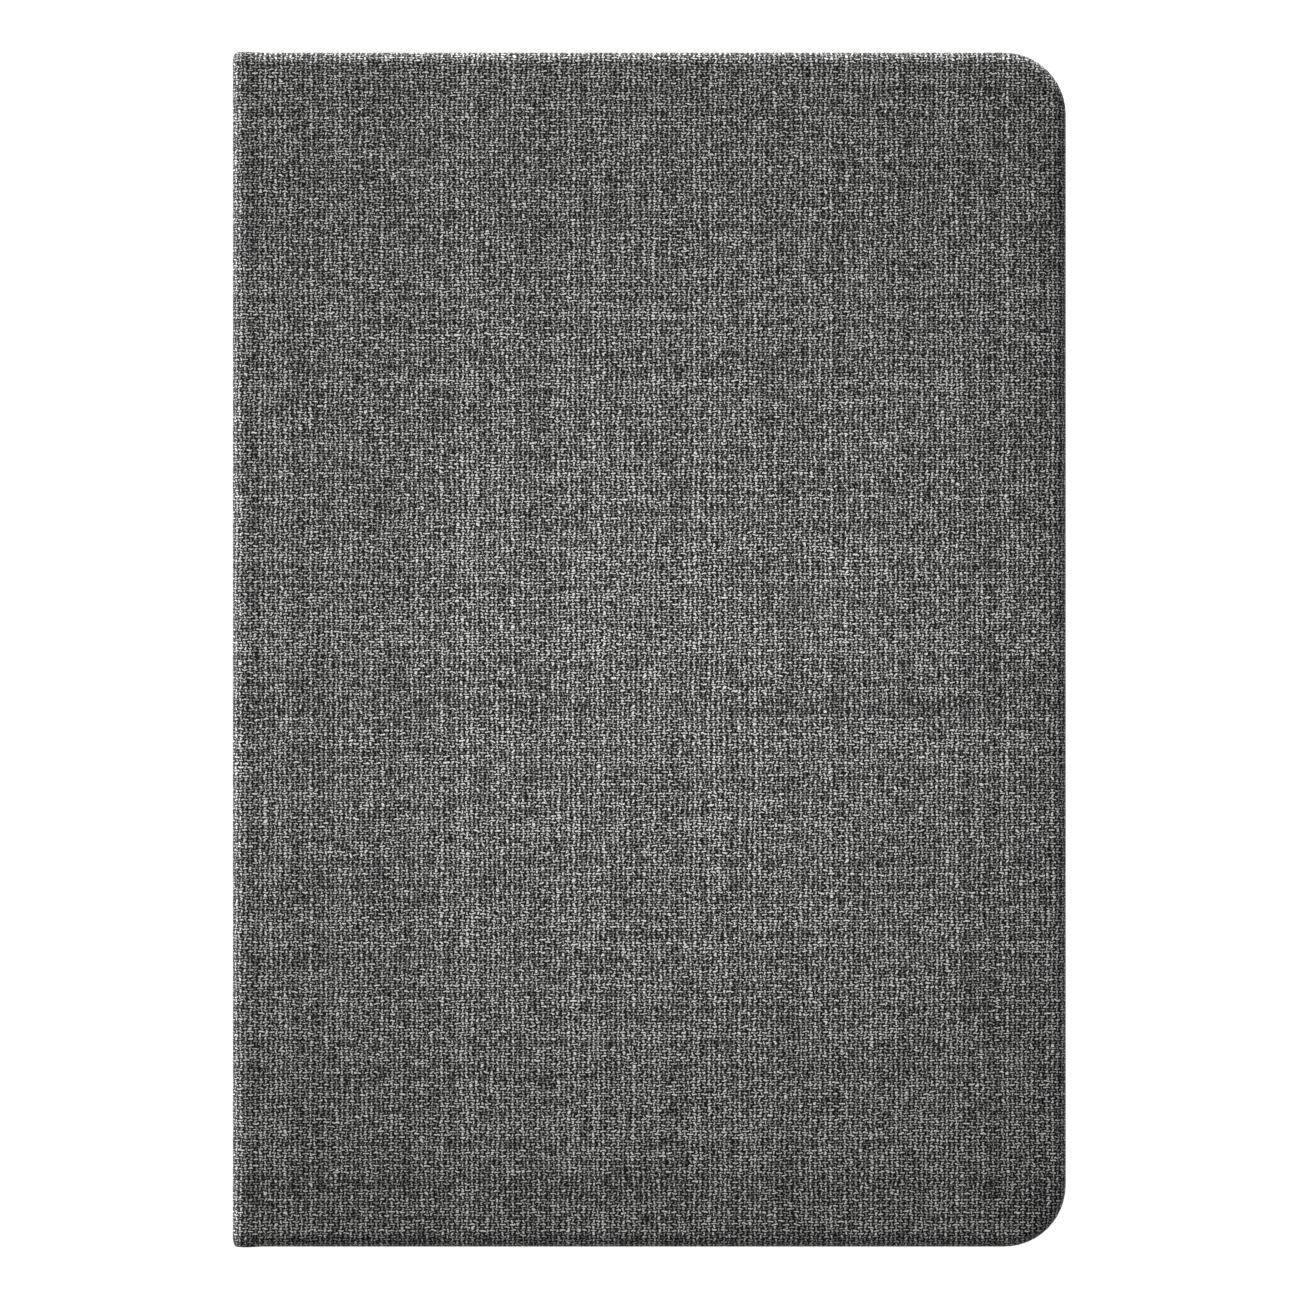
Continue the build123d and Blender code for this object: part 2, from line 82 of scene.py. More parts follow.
# ---- shader helpers ---------------------------------------------------------------------------
class Shader:
    """Short calls that add and join the nodes of one material."""

    def __init__(self, name):
        self.material = bpy.data.materials.new(name)
        self.material.use_nodes = True
        self.tree = self.material.node_tree
        self.bsdf = self.tree.nodes["Principled BSDF"]

    def node(self, kind, inputs=(), **settings):
        made = self.tree.nodes.new(kind)
        for key, value in settings.items():
            setattr(made, key, value)
        for key, value in dict(inputs).items():
            self.put(made.inputs[key], value)
        return made

    def put(self, socket, value):
        if isinstance(value, bpy.types.NodeSocket):
            self.tree.links.new(value, socket)
        else:
            socket.default_value = value

    def math(self, operation, *values):
        made = self.node("ShaderNodeMath", operation=operation)
        for socket, value in zip(made.inputs, values):
            self.put(socket, value)
        return made.outputs[0]

    def join(self, x, y, z=0.0):
        return self.node("ShaderNodeCombineXYZ", {"X": x, "Y": y, "Z": z}).outputs[0]

    def noise(self, vector, scale=1.0, detail=2.0):
        made = self.node("ShaderNodeTexNoise", {"Vector": vector, "Scale": scale, "Detail": detail})
        return made.outputs["Fac"]

    def white(self, vector):
        made = self.node("ShaderNodeTexWhiteNoise", {"Vector": vector}, noise_dimensions="3D")
        return made.outputs["Value"]

    def ramp(self, value, stops, smooth=True):
        made = self.node("ShaderNodeValToRGB", {"Fac": value})
        made.color_ramp.interpolation = "EASE" if smooth else "LINEAR"
        band = made.color_ramp.elements
        while len(band) < len(stops):
            band.new(0.5)
        for element, (place, colour) in zip(band, stops):
            element.position = place
            element.color = (*colour, 1)
        return made.outputs["Color"]

    def mix(self, factor, a, b):
        made = self.node("ShaderNodeMix", data_type="FLOAT")
        self.put(made.inputs["Factor"], factor)
        self.put(made.inputs["A"], a)
        self.put(made.inputs["B"], b)
        return made.outputs["Result"]

    def bump(self, height, distance, strength=1.0):
        made = self.node("ShaderNodeBump", {"Height": height, "Distance": distance, "Strength": strength})
        self.put(self.bsdf.inputs["Normal"], made.outputs[0])

    def set(self, **values):
        for key, value in values.items():
            self.put(self.bsdf.inputs[key.replace("_", " ")], value)


def linear(grey):
    """The linear value of an 8-bit sRGB grey."""
    value = grey / 255
    return value / 12.92 if value <= 0.04045 else ((value + 0.055) / 1.055) ** 2.4


def tint(grey, red=1.0, green=1.0, blue=1.0):
    value = linear(grey)
    return (value * red, value * green, value * blue)


# ---- materials --------------------------------------------------------------------------------
def weave_material(name, levels, pitch_u=1.10, pitch_v=0.676, depth=0.14):
    """A melange plain weave in UV millimetres: slubby threads of uneven shade, with painted shade at each
    thread's edges, on the thread passing under at each crossing and in the near-black gaps between, and
    brighter thread crests as a painted highlight.
    """
    s = Shader(name)
    uv = s.node("ShaderNodeTexCoord").outputs["UV"]
    split = s.node("ShaderNodeSeparateXYZ", {"Vector": uv})
    u, v = split.outputs["X"], split.outputs["Y"]

    def scaled(first, first_rate, second, second_rate, seed):
        """A place in a noise, from two directions at their own rates."""
        return s.join(s.math("MULTIPLY", first, first_rate), s.math("MULTIPLY", second, second_rate), seed)

    def drifted(along_thread, across_thread, seed, jostle):
        """Threads wander slowly over centimetres and jostle each other over a millimetre or two."""
        slow = s.noise(scaled(across_thread, 0.10, along_thread, 0.05, seed))
        quick = s.noise(scaled(across_thread, 0.6, along_thread, 0.8, seed + 2))
        place = s.math("MULTIPLY_ADD", slow, 1.5, across_thread)
        return s.math("MULTIPLY_ADD", quick, jostle, place)

    warp_jostle, weft_jostle = 1.6, 1.1
    drift_u, drift_v = drifted(v, u, 3.0, warp_jostle), drifted(u, v, 9.0, weft_jostle)
    across, along = s.math("DIVIDE", drift_u, pitch_u), s.math("DIVIDE", drift_v, pitch_v)
    warp_id, weft_id = s.math("FLOOR", across), s.math("FLOOR", along)

    def shade(thread, run, seed):
        """The shade along one thread: its own base, long slubs and short flecks."""
        own = s.white(s.join(thread, seed, 0.5))
        slub = s.noise(scaled(thread, 5.37, run, 0.22, seed), 1.0, 1.0)
        fleck = s.noise(scaled(thread, 7.91, run, 1.1, seed + 4), 1.0, 2.0)
        total = s.math("MULTIPLY_ADD", own, 0.12, s.math("MULTIPLY_ADD", slub, 0.19, 0.435))
        return s.math("MULTIPLY_ADD", fleck, 0.45, total)

    def crown(place, power):
        """The round back of a thread, 0 at its edges and 1 on its crest."""
        wave = s.math("SINE", s.math("MULTIPLY", s.math("FRACT", place), PI))
        return s.math("POWER", wave, power)

    parity = s.math("FLOORED_MODULO", s.math("ADD", warp_id, weft_id), 2.0)
    warp_crown, weft_crown = crown(across, 1.5), crown(along, 1.2)
    # Each thread's own shade times its crown: painted shade towards the thread's edges and a painted
    # highlight on its crest.
    warp_tone_and_painted_shade = s.math("MULTIPLY", shade(warp_id, drift_v, 1.0), warp_crown)
    weft_tone_and_painted_shade = s.math("MULTIPLY", shade(weft_id, drift_u, 2.0), weft_crown)
    # The thread passing under at each crossing is darkened: painted shade.
    warp_tone_and_painted_shade = s.math("MULTIPLY", warp_tone_and_painted_shade, s.mix(parity, 1.0, 0.22))
    weft_tone_and_painted_shade = s.math("MULTIPLY", weft_tone_and_painted_shade, s.mix(parity, 0.6, 1.0))
    # Where neither thread is high the colour drops towards near black: painted shade in the gaps between
    # threads.
    tone_and_painted_shade = s.math("SMOOTH_MAX", warp_tone_and_painted_shade, weft_tone_and_painted_shade, 0.12)
    cell = s.white(s.join(warp_id, weft_id, 7.0))
    fibre = s.noise(scaled(u, 7.0, v, 7.0, 5.0), 1.0, 2.0)
    value = s.math("MULTIPLY_ADD", cell, 0.15, tone_and_painted_shade)
    value = s.math("MULTIPLY_ADD", fibre, 0.20, value)
    value = s.math("MULTIPLY_ADD", s.noise(uv, 0.035, 2.0), 0.02, value)
    start, end = 0.612, 1.048
    placed = s.math("DIVIDE", s.math("SUBTRACT", value, start), end - start)
    s.put(s.bsdf.inputs["Base Color"], s.ramp(placed, levels, smooth=False))
    warp_height = s.math("MULTIPLY", warp_crown, s.mix(parity, 1.0, 0.6))
    weft_height = s.math("MULTIPLY", weft_crown, s.mix(parity, 0.6, 1.0))
    relief = s.math("MAXIMUM", warp_height, weft_height)
    s.bump(s.math("MULTIPLY_ADD", fibre, 0.25, relief), depth * MM, 0.8)
    s.set(Roughness=0.92, Sheen_Weight=0.1, Sheen_Roughness=0.5, Specular_IOR_Level=0.18)
    return s.material


def nap_material(name, colour, scale=900.0):
    """Short brushed microfibre."""
    s = Shader(name)
    place = s.node("ShaderNodeTexCoord").outputs["Object"]
    fine, broad = s.noise(place, scale * 4, 3.0), s.noise(place, scale / 14, 3.0)
    mottled = s.math("MULTIPLY_ADD", broad, 0.6, s.math("MULTIPLY", fine, 0.5))
    dark, light = tuple(c * 0.6 for c in colour), tuple(min(1, c * 1.5) for c in colour)
    s.put(s.bsdf.inputs["Base Color"], s.ramp(mottled, [(0.25, dark), (0.85, light)]))
    s.bump(fine, 0.08 * MM, 0.8)
    s.set(Roughness=0.95, Sheen_Weight=0.5, Sheen_Roughness=0.35)
    return s.material


def moulded_material(name, colour, rough=0.5, grain=2600.0, depth=0.02, wear=0.12):
    """Moulded or coated surface: fine grain, faint mottling and uneven gloss."""
    s = Shader(name)
    place = s.node("ShaderNodeTexCoord").outputs["Object"]
    fine, broad = s.noise(place, grain, 2.0), s.noise(place, 60.0, 4.0)
    low, high = tuple(c * (1 - wear) for c in colour), tuple(min(1, c * (1 + wear)) for c in colour)
    s.put(s.bsdf.inputs["Base Color"], s.ramp(broad, [(0.3, low), (0.7, high)]))
    gloss = s.math("MULTIPLY_ADD", broad, 0.22, rough - 0.11)
    s.set(Roughness=gloss)
    s.bump(fine, depth * MM, 0.7)
    return s.material


def brushed_material(name, colour, rough=0.32, along="X"):
    """Metal with fine lines along one axis."""
    s = Shader(name)
    place = s.node("ShaderNodeTexCoord").outputs["Object"]
    stretch = {"X": (60, 5000, 5000), "Y": (5000, 60, 5000)}[along]
    stretched = s.node("ShaderNodeVectorMath", {0: place, 1: stretch}, operation="MULTIPLY").outputs[0]
    lines = s.noise(stretched, 1.0, 3.0)
    low, high = tuple(c * 0.8 for c in colour), tuple(min(1, c * 1.15) for c in colour)
    s.put(s.bsdf.inputs["Base Color"], s.ramp(lines, [(0.3, low), (0.7, high)]))
    s.set(Metallic=1.0, Roughness=s.math("MULTIPLY_ADD", lines, 0.25, rough - 0.1))
    s.bump(lines, 0.01 * MM, 0.6)
    return s.material


def traces_material(name):
    """Solder mask with a faint net of tracks under it."""
    s = Shader(name)
    place = s.node("ShaderNodeTexCoord").outputs["Object"]
    cells = s.node("ShaderNodeTexVoronoi", {"Vector": place, "Scale": 420.0}, distance="MANHATTAN")
    track = s.math("GREATER_THAN", cells.outputs["Distance"], 0.55)
    mask, copper = (0.006, 0.045, 0.02), (0.02, 0.11, 0.05)
    s.put(s.bsdf.inputs["Base Color"], s.ramp(track, [(0.0, mask), (1.0, copper)]))
    s.bump(track, 0.02 * MM, 0.6)
    s.set(Roughness=0.35, Coat_Weight=0.3)
    return s.material


WEAVE = weave_material(
    "grey_melange_weave",
    [
        (0.12, tint(8)),
        (0.32, tint(63)),
        (0.5, tint(103, blue=0.975)),
        (0.74, tint(145, blue=0.975)),
        (1.0, tint(212, blue=0.97)),
    ],
)
MICROFIBRE = nap_material("charcoal_microfibre", tint(62))
TRAY = moulded_material("tray_plastic", tint(44), rough=0.55, depth=0.03)
DECK = moulded_material("deck_plastic", tint(54), rough=0.5, depth=0.025)
KEYCAP = moulded_material("keycap_plastic", tint(27), rough=0.42, depth=0.012)
PAD = moulded_material("touchpad_surface", tint(46), rough=0.24, grain=5000, depth=0.004)
RUBBER = moulded_material("bumper_rubber", tint(30), rough=0.8, grain=1800, depth=0.03)
BOARD = moulded_material("stiffener_board", tint(58), rough=0.7, grain=900, depth=0.05)
ADHESIVE = moulded_material("adhesive_film", tint(22), rough=0.3, grain=500, depth=0.02)
MAGNET = brushed_material("nickel_magnet", (0.62, 0.6, 0.57), 0.22)
STEEL = brushed_material("hinge_steel", (0.42, 0.42, 0.43), 0.35, along="Y")
BLACK_STEEL = brushed_material("black_screw", (0.09, 0.09, 0.095), 0.35)
ALUMINIUM = brushed_material("support_aluminium", (0.66, 0.66, 0.67), 0.4, along="Y")
SOCKET = brushed_material("socket_shell", (0.6, 0.6, 0.61), 0.25)
CIRCUIT = traces_material("circuit_board")
BATTERY = moulded_material("battery_wrap", tint(36), rough=0.3, grain=300, depth=0.03)
FILM = moulded_material("amber_film", (0.42, 0.22, 0.06), rough=0.25, grain=800, depth=0.01)
SILICONE = moulded_material("dome_silicone", (0.55, 0.56, 0.55), rough=0.4, grain=900, depth=0.01)
LENS = moulded_material("indicator_lens", (0.6, 0.63, 0.62), rough=0.2, grain=700, depth=0.005)
LEGEND = moulded_material("key_legend", tint(205), rough=0.6, grain=3000, depth=0.004)

NODE_MATERIALS = {
    TRAY: ["tablet_tray"],
    MICROFIBRE: ["tray_lining", "kickstand_liner", "spine_liner", "front_liner"],
    DECK: ["keyboard_top_plate", "keyboard_base_shell"],
    PAD: ["touchpad_plate"],
    RUBBER: ["screen_bumpers"],
    BOARD: ["upper_back_board", "anchor_strip_board", "kickstand_board", "spine_board", "front_board"],
    ADHESIVE: ["tray_bond_tape"],
    MAGNET: ["tray_magnets", "kickstand_magnets", "front_magnets"],
    STEEL: ["hinge_fixed_leaves", "hinge_moving_leaves", "hinge_pins"],
    BLACK_STEEL: ["base_screws"],
    ALUMINIUM: ["support_plate"],
    SOCKET: ["charging_socket"],
    CIRCUIT: ["main_circuit_board", "touchpad_sensor_board"],
    BATTERY: ["battery_cell"],
    FILM: ["switch_membrane", "flat_cables"],
    SILICONE: ["rubber_domes"],
    LENS: ["indicator_lenses"],
    KEYCAP: ["power_slider", "power_switch_body"],
}


def give_materials():
    """Every CAD node that stays visible gets its detailed material."""
    by_node = {node: material for material, nodes in NODE_MATERIALS.items() for node in nodes}
    for node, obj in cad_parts.items():
        material = by_node.get(node) or (KEYCAP if "key" in node and "keyboard" not in node else None)
        if material:
            obj.data.materials.clear()
            obj.data.materials.append(material)


# ---- cloth over the panels ----------------------------------------------------------------------
def arc(centre, radius, start, end, steps):
    """Points on a circle, both ends included, angles in degrees."""
    angles = [math.radians(start + (end - start) * i / steps) for i in range(steps + 1)]
    return [(centre[0] + radius * math.cos(a), centre[1] + radius * math.sin(a)) for a in angles]


def edge_rings(depth, radius, hem, hem_radius):
    """(inset, depth, arc length) from the flat face, round the edge and in under it."""
    bend = arc((radius, radius), radius, 270, 180, 8)
    under = arc((hem_radius, depth - hem_radius), hem_radius, 180, 90, 4)
    points = bend + under + [(hem, depth)]
    rings, length = [], 0.0
    for i, (inset, low) in enumerate(points):
        if i:
            length += math.dist(points[i - 1], points[i])
        rings.append((inset, low, length))
    return rings


def finish_mesh(name, bm, material, thickness):
    """Gives the sheet its thickness, writes UVs in millimetres and makes the object."""
    bmesh.ops.remove_doubles(bm, verts=bm.verts, dist=1e-7)
    bmesh.ops.recalc_face_normals(bm, faces=bm.faces)
    layer_u = bm.verts.layers.float["u"]
    layer_v = bm.verts.layers.float["v"]
    bmesh.ops.solidify(bm, geom=bm.faces[:], thickness=thickness)
    uv = bm.loops.layers.uv.new("UVMap")
    for face in bm.faces:
        face.smooth = True
        for loop in face.loops:
            loop[uv].uv = (loop.vert[layer_u] / MM, loop.vert[layer_v] / MM)
    mesh = bpy.data.meshes.new(name)
    bm.to_mesh(mesh)
    bm.free()
    mesh.materials.append(material)
    mesh.set_sharp_from_angle(angle=math.radians(50))
    obj = bpy.data.objects.new(name, mesh)
    bpy.context.scene.collection.objects.link(obj)
    return obj


class Sheet:
    """Collects the points of a sheet, each with its place on the flat cloth."""

    def __init__(self):
        self.bm = bmesh.new()
        self.u = self.bm.verts.layers.float.new("u")
        self.v = self.bm.verts.layers.float.new("v")

    def point(self, co, u, v):
        vert = self.bm.verts.new(co)
        vert[self.u], vert[self.v] = u, v
        return vert

    def face(self, *verts):
        self.bm.faces.new(verts)


def panel_outline(x0, x1, half_y, corner0, corner1, columns, inset):
    """The panel's outline as (x, y), a closed loop with fixed point counts."""
    points = []
    for cx, radius, side in ((x1, corner1, 1), (x0, corner0, -1)):
        for quarter in (0, 1):
            sign_y = (-1, 1)[quarter] if side > 0 else (1, -1)[quarter]
            start = {(1, -1): 270, (1, 1): 0, (-1, 1): 90, (-1, -1): 180}[(side, sign_y)]
            centre = (cx - side * radius, sign_y * (half_y - radius))
            for i in range(CORNER_STEPS + 1):
                a = math.radians(start + 90 * i / CORNER_STEPS)
                reach = radius - inset
                points.append((centre[0] + reach * math.cos(a), centre[1] + reach * math.sin(a)))
        sides = columns if side < 0 else columns[::-1]
        sign_y = 1 if side > 0 else -1
        points += [(x, sign_y * (half_y - inset)) for x in sides]
    return points


def closed_panel(sheet, x0, x1, face_z, sign, corner0, corner1, columns, rings):
    """A panel whose four edges are all turned: rings round its outline, strips across its face."""
    loops = []
    for inset, depth, length in rings:
        outline = panel_outline(x0, x1, HALF_Y, corner0, corner1, columns, inset)
        flat = panel_outline(x0, x1, HALF_Y, corner0, corner1, columns, rings[0][0] - length)
        z = face_z - sign * depth
        loops.append([sheet.point((x, y, z), fx, fy) for (x, y), (fx, fy) in zip(outline, flat)])
    count = len(loops[0])
    for upper, lower in zip(loops, loops[1:]):
        for i in range(count):
            j = (i + 1) % count
            sheet.face(upper[i], upper[j], lower[j], lower[i])
    face = loops[0]
    width = len(columns)
    corner_pair = 2 * (CORNER_STEPS + 1)
    right = face[:corner_pair]
    top = face[corner_pair : corner_pair + width]
    left = face[corner_pair + width : 2 * corner_pair + width]
    bottom = face[2 * corner_pair + width :]
    sheet.face(*([bottom[-1]] + right + [top[0]]))
    sheet.face(*([top[-1]] + left + [bottom[0]]))
    for i in range(width - 1):
        sheet.face(bottom[i], bottom[i + 1], top[width - 2 - i], top[width - 1 - i])


def hem_depth(x, depth, bend, total):
    """The thin spine's end is squarer and its hem shallower, to clear the inside of the fold."""
    along = min(1.0, max(0.0, (x + HALF_X - SPINE_BEND) / HEM_RUN))
    along = along * along * (3 - 2 * along)
    if depth <= bend:
        shallow = SPINE_EDGE * depth / bend
    else:
        shallow = SPINE_EDGE + (SPINE_HEM - SPINE_EDGE) * (depth - bend) / (total - bend)
    return shallow + (depth - shallow) * along


def joined_panel(sheet, path, x1, face_z, sign, corner1, rings):
    """A panel that runs on into another part along path, a list of (x, z, normal x, normal z, length)."""
    rows = []
    join_x = path[-1][0]
    bend, total = rings[0][0], rings[-1][1]
    for inset, depth, length in rings:
        out = length - rings[0][2]
        edge_y = HALF_Y - inset
        flat_y = HALF_Y - rings[0][0] + out
        low, high = [], []
        for x, z, nx, nz, u in path:
            deep = hem_depth(x, depth, bend, total)
            x, z = x - nx * deep, z - nz * deep
            low.append(sheet.point((x, -edge_y, z), u, -flat_y))
            high.append(sheet.point((x, edge_y, z), u, flat_y))
        z = face_z - sign * depth
        middle = []
        for corner_y, start in ((-1, 270), (1, 0)):
            if corner1:
                for i in range(CORNER_STEPS + 1):
                    a = math.radians(start + 90 * i / CORNER_STEPS)
                    reach, flat_reach = corner1 - inset, corner1 - rings[0][0] + out
                    cx, cy = x1 - corner1, corner_y * (HALF_Y - corner1)
                    u = path[-1][4] + (cx - join_x) + flat_reach * math.cos(a)
                    place = (cx + reach * math.cos(a), cy + reach * math.sin(a), z)
                    middle.append(sheet.point(place, u, cy + flat_reach * math.sin(a)))
        rows.append((low, middle, high))
    for (low, middle, high), (low2, middle2, high2) in zip(rows, rows[1:]):
        for line, line2 in ((low, low2), (high, high2)):
            for i in range(len(line) - 1):
                sheet.face(line[i], line[i + 1], line2[i + 1], line2[i])
        if corner1:
            loop, loop2 = [low[-1]] + middle + [high[-1]], [low2[-1]] + middle2 + [high2[-1]]
            for i in range(len(loop) - 1):
                sheet.face(loop[i], loop[i + 1], loop2[i + 1], loop2[i])
    low, middle, high = rows[0]
    for i in range(len(low) - 1):
        sheet.face(low[i], low[i + 1], high[i + 1], high[i])
    if corner1:
        sheet.face(*([low[-1]] + middle + [high[-1]]))


def spine_path(sign, end_x):
    """From the middle of the spine round one of its corners and along the cover to end_x."""
    bend_x = -HALF_X + SPINE_BEND
    bend_z = FRONT_HIGH - SPINE_BEND if sign > 0 else SPINE_BEND
    straight = abs(bend_z - SPINE_MID)
    path = []
    for i in range(3):
        path.append((-HALF_X, SPINE_MID + (bend_z - SPINE_MID) * i / 3, -1.0, 0.0, straight * i / 3))
    for i in range(CORNER_STEPS + 1):
        a = PI / 2 * i / CORNER_STEPS
        nx, nz = -math.cos(a), sign * math.sin(a)
        path.append((bend_x + SPINE_BEND * nx, bend_z + SPINE_BEND * nz, nx, nz, straight + SPINE_BEND * a))
    length = path[-1][4]
    for x in [bend_x + i * MM for i in range(1, 5)] + [end_x]:
        if x > path[-1][0]:
            path.append((x, bend_z + sign * SPINE_BEND, 0.0, float(sign), length + x - bend_x))
    return path


def make_front_skin():
    sheet = Sheet()
    rings = edge_rings(FRONT_HIGH - FRONT_LOW + 0.35 * MM, 2.6 * MM, 5.0 * MM, 0.6 * MM)
    joined_panel(sheet, spine_path(1, -70 * MM), HALF_X, FRONT_HIGH, 1, CORNER, rings)
    skin = finish_mesh("front_cover_skin", sheet.bm, WEAVE, CLOTH)
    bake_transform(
        skin,
        "spine",
        "keyboard_cover",
        (-HALF_X, 0, FRONT_HIGH - SPINE_BEND),
        (-HALF_X + SPINE_BEND, 0, FRONT_HIGH),
    )
    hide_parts("front_fabric")


def make_anchor_skin():
    sheet = Sheet()
    rings = edge_rings(2.4 * MM, 2.0 * MM, 1.6 * MM, 0.3 * MM)
    joined_panel(sheet, spine_path(-1, ANCHOR_X), ANCHOR_X, 0.0, -1, 0.0, rings)
    skin = finish_mesh("spine_back_skin", sheet.bm, WEAVE, CLOTH)
    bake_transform(skin, "tablet_back", "spine", (-HALF_X + SPINE_BEND, 0, 0), (-HALF_X, 0, SPINE_BEND))
    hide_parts("spine_fabric", "anchor_strip_fabric")


def cut_window(skin):
    """Cuts the camera window through the back skin."""
    bpy.ops.mesh.primitive_cube_add(size=1, location=(CAMERA_X, CAMERA_Y, 0))
    cutter = bpy.context.object
    cutter.scale = (WINDOW_X, WINDOW_Y, 6 * MM)
    bpy.ops.object.transform_apply(scale=True, location=True)
    bevel = cutter.modifiers.new("round", "BEVEL")
    bevel.width, bevel.segments, bevel.limit_method = WINDOW_CORNER, 8, "WEIGHT"
    weights = cutter.data.attributes.new("bevel_weight_edge", "FLOAT", "EDGE")
    for edge in cutter.data.edges:
        a, b = (cutter.data.vertices[i].co for i in edge.vertices)
        weights.data[edge.index].value = 1.0 if abs(a.z - b.z) > MM else 0.0
    cut = skin.modifiers.new("window", "BOOLEAN")
    cut.object, cut.operation, cut.solver = cutter, "DIFFERENCE", "EXACT"
    bpy.context.view_layer.update()
    result = bpy.data.meshes.new_from_object(skin.evaluated_get(bpy.context.evaluated_depsgraph_get()))
    skin.modifiers.clear()
    skin.data = result
    result.name = skin.name
    bpy.data.objects.remove(cutter)


def make_back_skin():
    sheet = Sheet()
    rings = edge_rings(2.3 * MM, 1.8 * MM, 1.5 * MM, 0.35 * MM)
    steps = 16
    fold = [HINGE_X + FOLD_HALF * (2 * i / steps - 1) for i in range(steps + 1)]
    columns = [-60 * MM, *fold, 60 * MM]
    closed_panel(sheet, FLAP_X, HALF_X, 0.0, -1, 2.4 * MM, CORNER, columns, rings)
    skin = finish_mesh("back_skin", sheet.bm, WEAVE, CLOTH)
    cut_window(skin)
    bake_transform(skin, "kickstand", "tablet_back", (HINGE_X - 2.2 * MM, 0, 0), (HINGE_X + 2.2 * MM, 0, 0))
    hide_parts("upper_back_fabric", "kickstand_fabric")


def make_front_liner():
    """The thin brushed liner inside the front cover, with softly rounded edges."""
    x0, x1, y_in = -86.2 * MM, HALF_X - 2.2 * MM, 2.2 * MM
    z0, z1 = 18.38 * MM, 17.45 * MM
    radius, small_radius = 11.3 * MM, 1.0 * MM
    bm = bmesh.new()
    layers = [(0.0, z0), (0.0, z1 - 0.6 * (z1 - z0)), (0.12 * MM, z1 - 0.2 * (z1 - z0)), (0.3 * MM, z1)]
    loops = []
    for inset, z in layers:
        loop = []
        for cx, cy, start in ((x1, -1, 270), (x1, 1, 0), (x0, 1, 90), (x0, -1, 180)):
            side = 1 if cx == x1 else -1
            bend = radius if side > 0 else small_radius
            for i in range(10):
                a = math.radians(start + 90 * i / 9)
                reach = bend - inset
                x = cx - side * bend + reach * math.cos(a)
                y = cy * (HALF_Y - y_in - bend) + reach * math.sin(a)
                loop.append(bm.verts.new((x, y, z)))
        loops.append(loop)
    for upper, lower in zip(loops, loops[1:]):
        for i in range(len(upper)):
            j = (i + 1) % len(upper)
            bm.faces.new((upper[i], upper[j], lower[j], lower[i]))
    bm.faces.new(loops[0])
    bm.faces.new(loops[-1])
    bmesh.ops.recalc_face_normals(bm, faces=bm.faces)
    mesh = bpy.data.meshes.new("front_inner_liner")
    bm.to_mesh(mesh)
    bm.free()
    for polygon in mesh.polygons:
        polygon.use_smooth = True
    mesh.set_sharp_from_angle(angle=math.radians(40))
    mesh.materials.append(MICROFIBRE)
    obj = bpy.data.objects.new("front_inner_liner", mesh)
    bpy.context.scene.collection.objects.link(obj)
    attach(obj, "keyboard_cover")
    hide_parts("front_liner")


def make_gusset(name, points, body_a, body_b, start, end):
    """The inner cloth of a spine fold, from one panel to the other. points are (x, z) in millimetres."""
    sheet = Sheet()
    steps = 14
    half_y = HALF_Y - 3.2 * MM
    tail_a, p0, p1, p2, tail_b = (Vector((x * MM, 0, z * MM)) for x, z in points)
    places = [tail_a]
    for i in range(steps + 1):
        t = i / steps
        places.append((1 - t) ** 2 * p0 + 2 * t * (1 - t) * p1 + t**2 * p2)
    places.append(tail_b)
    lengths = [0.0]
    for before, after in zip(places, places[1:]):
        lengths.append(lengths[-1] + (after - before).length)
    rows = []
    for side in (-1, 1):
        y = side * half_y
        rows.append([sheet.point((p.x, y, p.z), u, y) for p, u in zip(places, lengths)])
    low, high = rows
    for i in range(len(places) - 1):
        sheet.face(low[i], low[i + 1], high[i + 1], high[i])
    obj = finish_mesh(name, sheet.bm, MICROFIBRE, 0.25 * MM)
    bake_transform(obj, body_a, body_b, start, end)


# ---- keys ---------------------------------------------------------------------------------------
UNIT = 16.7 * MM
KEY_GAP = 2.3 * MM
ROW_UNITS = 14.5
ARROWS = "arrow_up_and_down"
LETTER_SIZE, WORD_SIZE = 4.6 * MM, 2.9 * MM
PRINT_THICK = 0.02 * MM


def equal_keys(node, labels):
    """The keys of one row that are all one unit wide and share a node."""
    return [(node, 1.0, label) for label in labels]


# Each row has its two x limits in millimetres, and its keys as (node, width in units, label).
KEY_ROWS = (
    (-75.5, -66.0, equal_keys("function_row_keys", ["esc", *(f"F{n}" for n in range(1, 13)), "del"])),
    (-63.7, -49.0, [*equal_keys("number_row_keys", "`1234567890-="), ("backspace_key", 1.5, "backspace")]),
    (-46.7, -32.0, [("tab_key", 1.5, "tab"), *equal_keys("q_row_keys", "QWERTYUIOP[]\\")]),
    (
        -29.7,
        -15.0,
        [("caps_key", 1.75, "caps"), *equal_keys("a_row_keys", "ASDFGHJKL;'"), ("enter_key", 1.75, "enter")],
    ),
    (
        -12.7,
        2.0,
        [
            ("shift_left_key", 2.25, "shift"),
            *equal_keys("z_row_keys", "ZXCVBNM,./"),
            ("shift_right_key", 2.25, "shift"),
        ],
    ),
    (
        4.3,
        19.0,
        [
            ("fn_key", 1.0, "fn"),
            ("ctrl_key", 1.0, "ctrl"),
            ("alt_left_key", 1.0, "alt"),
            ("command_left_key", 1.25, "cmd"),
            ("space_key", 5.0, ""),
            ("command_right_key", 1.25, "cmd"),
            ("alt_right_key", 1.0, "alt"),
            ("arrow_left_key", 1.0, "<"),
            (ARROWS, 1.0, ""),
            ("arrow_right_key", 1.0, ">"),
        ],
    ),
)


